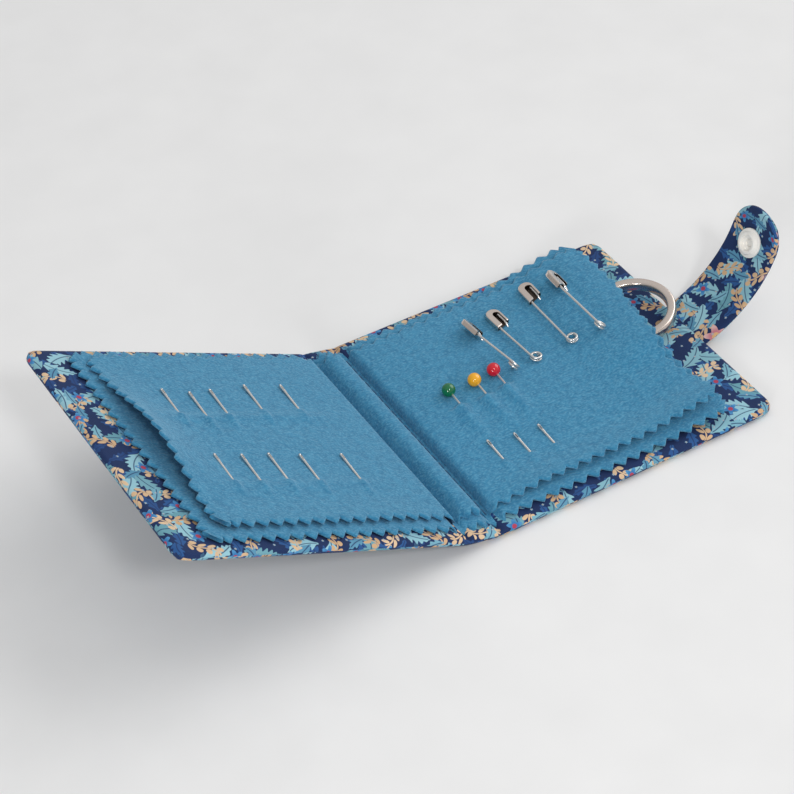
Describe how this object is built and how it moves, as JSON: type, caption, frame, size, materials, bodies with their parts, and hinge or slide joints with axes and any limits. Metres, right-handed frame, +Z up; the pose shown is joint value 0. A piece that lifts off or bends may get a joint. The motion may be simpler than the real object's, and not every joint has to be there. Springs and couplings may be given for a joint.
{
  "type": "needle book",
  "caption": "Open fabric-covered needle book with pinked felt pages holding needles, ball-head pins and safety pins, a closing strap with a press snap, and a metal D-ring.",
  "frame": {"origin": "centre of the underside of the back cover, which lies flat on the table", "axes": "+Z up; +X from the spine across the back cover to its free edge, where the strap is; Y along the spine"},
  "size_m": [0.2384, 0.1, 0.0506],
  "materials": {
    "printed_cloth": "printed cotton",
    "felt": "matt wool felt",
    "thread": "sewing thread",
    "board": "pressed card",
    "steel": "polished",
    "nickel": "nickel plated",
    "snap_plastic": "cream moulded plastic",
    "green_head": "glossy",
    "yellow_head": "glossy",
    "red_head": "glossy"
  },
  "bodies": {
    "back_cover": {"back_outer_fabric": "printed_cloth", "back_board": "board", "back_lining": "printed_cloth", "ring_loop": "printed_cloth"},
    "spine": {"spine_outer_fabric": "printed_cloth", "spine_interfacing": "board", "spine_lining": "printed_cloth", "spine_felt_lower": "felt", "spine_felt_upper": "felt", "back_seam_thread": "thread", "front_seam_thread": "thread"},
    "front_cover": {"front_outer_fabric": "printed_cloth", "front_board": "board", "front_lining": "printed_cloth", "snap_stud": "snap_plastic", "snap_stud_cap": "snap_plastic"},
    "front_lower_page": {"front_leaf_lower": "felt"},
    "front_upper_page": {"front_leaf_upper": "felt"},
    "back_lower_page": {"back_leaf_lower": "felt"},
    "back_upper_page": {"back_leaf_upper": "felt", "safety_pin_a_wire": "steel", "safety_pin_a_cap": "nickel", "safety_pin_b_wire": "steel", "safety_pin_b_cap": "nickel", "safety_pin_c_wire": "steel", "safety_pin_c_cap": "nickel", "safety_pin_d_wire": "steel", "safety_pin_d_cap": "nickel"},
    "ring": {"d_ring": "nickel"},
    "strap_lower_half": {"strap_riser": "printed_cloth"},
    "strap_upper_half": {"strap_tab": "printed_cloth", "snap_socket": "snap_plastic", "snap_socket_cap": "snap_plastic"},
    "front_needle_01_body": {"front_needle_01": "steel"},
    "front_needle_02_body": {"front_needle_02": "steel"},
    "front_needle_03_body": {"front_needle_03": "steel"},
    "front_needle_04_body": {"front_needle_04": "steel"},
    "front_needle_05_body": {"front_needle_05": "steel"},
    "front_needle_06_body": {"front_needle_06": "steel"},
    "front_needle_07_body": {"front_needle_07": "steel"},
    "front_needle_08_body": {"front_needle_08": "steel"},
    "front_needle_09_body": {"front_needle_09": "steel"},
    "front_needle_10_body": {"front_needle_10": "steel"},
    "back_needle_01_body": {"back_needle_01": "steel"},
    "back_needle_02_body": {"back_needle_02": "steel"},
    "back_needle_03_body": {"back_needle_03": "steel"},
    "ball_pin_green_body": {"ball_pin_green_head": "green_head", "ball_pin_green_shaft": "steel"},
    "ball_pin_yellow_body": {"ball_pin_yellow_head": "yellow_head", "ball_pin_yellow_shaft": "steel"},
    "ball_pin_red_body": {"ball_pin_red_head": "red_head", "ball_pin_red_shaft": "steel"}
  },
  "joints": [
    {"name": "spine_hinge", "type": "hinge", "parent": "back_cover", "child": "spine", "pos_m": [-0.052, 0, 0.0022], "axis": [0, -1, 0], "range_deg": [-75.15, 13]},
    {"name": "front_hinge", "type": "hinge", "parent": "spine", "child": "front_cover", "pos_m": [-0.0633, 0, 0.00481], "axis": [0, -1, 0], "range_deg": [-75.15, 13]},
    {"name": "front_lower_page_hinge", "type": "hinge", "parent": "front_cover", "child": "front_lower_page", "pos_m": [-0.0633, 0, 0.00481], "axis": [0, 1, 0], "range_deg": [0, 40]},
    {"name": "front_upper_page_hinge", "type": "hinge", "parent": "front_lower_page", "child": "front_upper_page", "pos_m": [-0.0633, 0, 0.00481], "axis": [0, 1, 0], "range_deg": [0, 42]},
    {"name": "back_lower_page_hinge", "type": "hinge", "parent": "back_cover", "child": "back_lower_page", "pos_m": [-0.052, 0, 0.0022], "axis": [0, -1, 0], "range_deg": [0, 40]},
    {"name": "back_upper_page_hinge", "type": "hinge", "parent": "back_lower_page", "child": "back_upper_page", "pos_m": [-0.052, 0, 0.0022], "axis": [0, -1, 0], "range_deg": [0, 42]},
    {"name": "ring_hinge", "type": "hinge", "parent": "back_cover", "child": "ring", "pos_m": [0.0344, 0.0085, 0.0055], "axis": [0, -1, 0], "range_deg": [-7.5, 1.5]},
    {"name": "strap_root", "type": "hinge", "parent": "back_cover", "child": "strap_lower_half", "pos_m": [0.0526, -0.002, 0.0014], "axis": [0, 1, 0], "range_deg": [-48.3, 14]},
    {"name": "strap_fold", "type": "hinge", "parent": "strap_lower_half", "child": "strap_upper_half", "pos_m": [0.07258, -0.002, 0.01608], "axis": [0, 1, 0], "range_deg": [-66.24, 20]},
    {"name": "front_needle_01_pull", "type": "slide", "parent": "front_upper_page", "child": "front_needle_01_body", "axis": [0.0219, 0.9987, 0.0449], "range_m": [0, 0.029]},
    {"name": "front_needle_02_pull", "type": "slide", "parent": "front_upper_page", "child": "front_needle_02_body", "axis": [0.0219, 0.9987, 0.0449], "range_m": [0, 0.029]},
    {"name": "front_needle_03_pull", "type": "slide", "parent": "front_upper_page", "child": "front_needle_03_body", "axis": [0.0219, 0.9987, 0.0449], "range_m": [0, 0.029]},
    {"name": "front_needle_04_pull", "type": "slide", "parent": "front_upper_page", "child": "front_needle_04_body", "axis": [0.0219, 0.9987, 0.0449], "range_m": [0, 0.029]},
    {"name": "front_needle_05_pull", "type": "slide", "parent": "front_upper_page", "child": "front_needle_05_body", "axis": [0.0219, 0.9987, 0.0449], "range_m": [0, 0.029]},
    {"name": "front_needle_06_pull", "type": "slide", "parent": "front_upper_page", "child": "front_needle_06_body", "axis": [0.0219, 0.9987, 0.0449], "range_m": [0, 0.029]},
    {"name": "front_needle_07_pull", "type": "slide", "parent": "front_upper_page", "child": "front_needle_07_body", "axis": [0.0219, 0.9987, 0.0449], "range_m": [0, 0.029]},
    {"name": "front_needle_08_pull", "type": "slide", "parent": "front_upper_page", "child": "front_needle_08_body", "axis": [0.0219, 0.9987, 0.0449], "range_m": [0, 0.029]},
    {"name": "front_needle_09_pull", "type": "slide", "parent": "front_upper_page", "child": "front_needle_09_body", "axis": [0.0219, 0.9987, 0.0449], "range_m": [0, 0.029]},
    {"name": "front_needle_10_pull", "type": "slide", "parent": "front_upper_page", "child": "front_needle_10_body", "axis": [0.0219, 0.9987, 0.0449], "range_m": [0, 0.029]},
    {"name": "back_needle_01_pull", "type": "slide", "parent": "back_upper_page", "child": "back_needle_01_body", "axis": [0, 0.9974, 0.0718], "range_m": [0, 0.021]},
    {"name": "back_needle_02_pull", "type": "slide", "parent": "back_upper_page", "child": "back_needle_02_body", "axis": [0, 0.9974, 0.0718], "range_m": [0, 0.021]},
    {"name": "back_needle_03_pull", "type": "slide", "parent": "back_upper_page", "child": "back_needle_03_body", "axis": [0, 0.9974, 0.0718], "range_m": [0, 0.021]},
    {"name": "ball_pin_green_pull", "type": "slide", "parent": "back_upper_page", "child": "ball_pin_green_body", "axis": [0, 0.9935, 0.1135], "range_m": [0, 0.027]},
    {"name": "ball_pin_yellow_pull", "type": "slide", "parent": "back_upper_page", "child": "ball_pin_yellow_body", "axis": [0, 0.9935, 0.1135], "range_m": [0, 0.027]},
    {"name": "ball_pin_red_pull", "type": "slide", "parent": "back_upper_page", "child": "ball_pin_red_body", "axis": [0, 0.9935, 0.1135], "range_m": [0, 0.027]}
  ],
  "couplings": [
    {"joint": "front_hinge", "follows": "spine_hinge", "ratio": 1}
  ]
}
